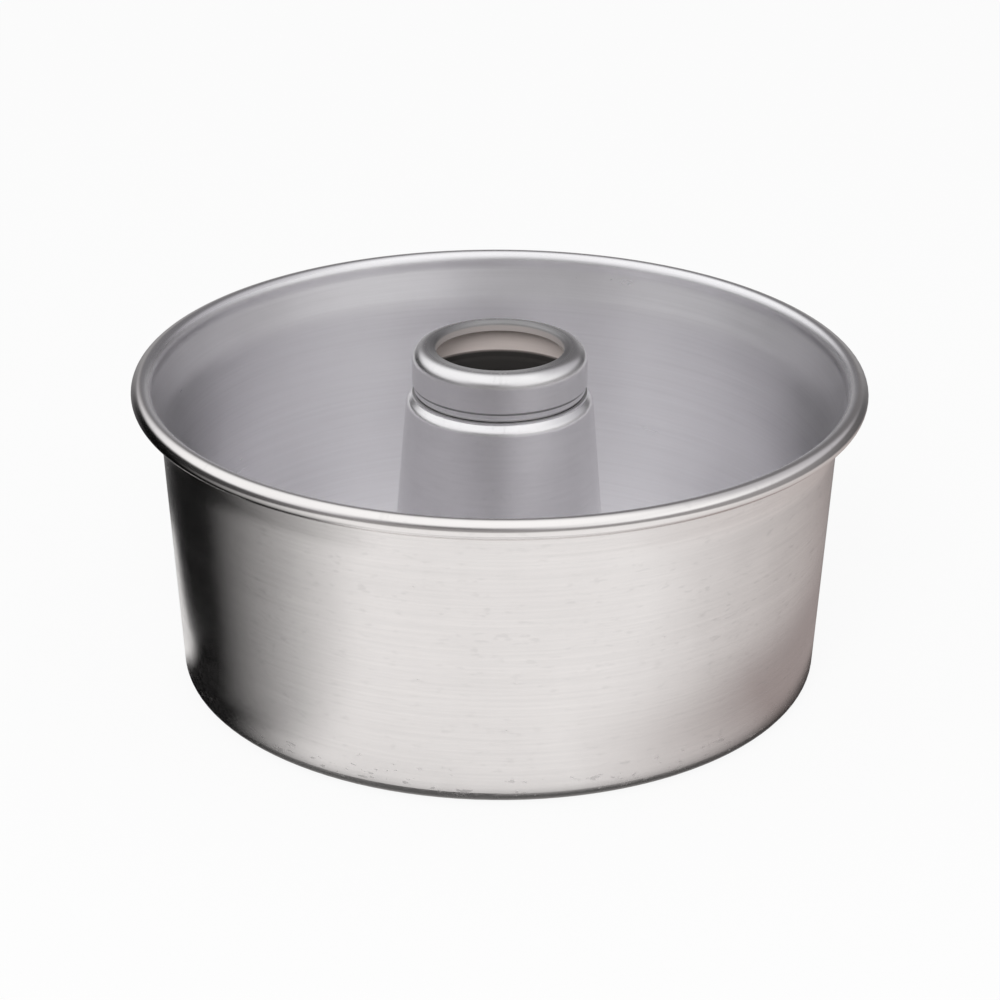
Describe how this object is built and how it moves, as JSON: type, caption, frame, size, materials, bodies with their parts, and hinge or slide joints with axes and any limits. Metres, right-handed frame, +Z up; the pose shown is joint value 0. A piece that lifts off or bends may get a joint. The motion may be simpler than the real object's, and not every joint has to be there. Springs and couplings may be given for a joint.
{
  "type": "angel food cake pan",
  "caption": "Deep round tube pan with a rolled rim and a loose base that lifts out with its tall open centre tube, for baking ring-shaped sponge cakes.",
  "frame": {"origin": "on the pan's axis, in the plane of the table that the shell's bottom ring stands on", "axes": "+Z up along the pan's axis towards the open top; every piece is turned round this axis, so X and Y may point anywhere level"},
  "size_m": [0.2702, 0.2702, 0.125],
  "materials": {
    "shell_aluminium": "satin aluminium with fine brushing round the wall and a brighter rolled bead",
    "plate_aluminium": "satin aluminium with fine concentric spinning lines",
    "tube_aluminium": "satin aluminium, a little darker than the shell, brushed round the cone",
    "collar_aluminium": "satin aluminium with a polished rounded top edge"
  },
  "bodies": {
    "pan": {"pan_shell": "shell_aluminium"},
    "core": {"base_plate": "plate_aluminium", "centre_tube": "tube_aluminium", "tube_collar": "collar_aluminium"}
  },
  "joints": [
    {"name": "core_lift", "type": "slide", "parent": "pan", "child": "core", "axis": [0, 0, 1], "range_m": [0, 0.14]}
  ]
}
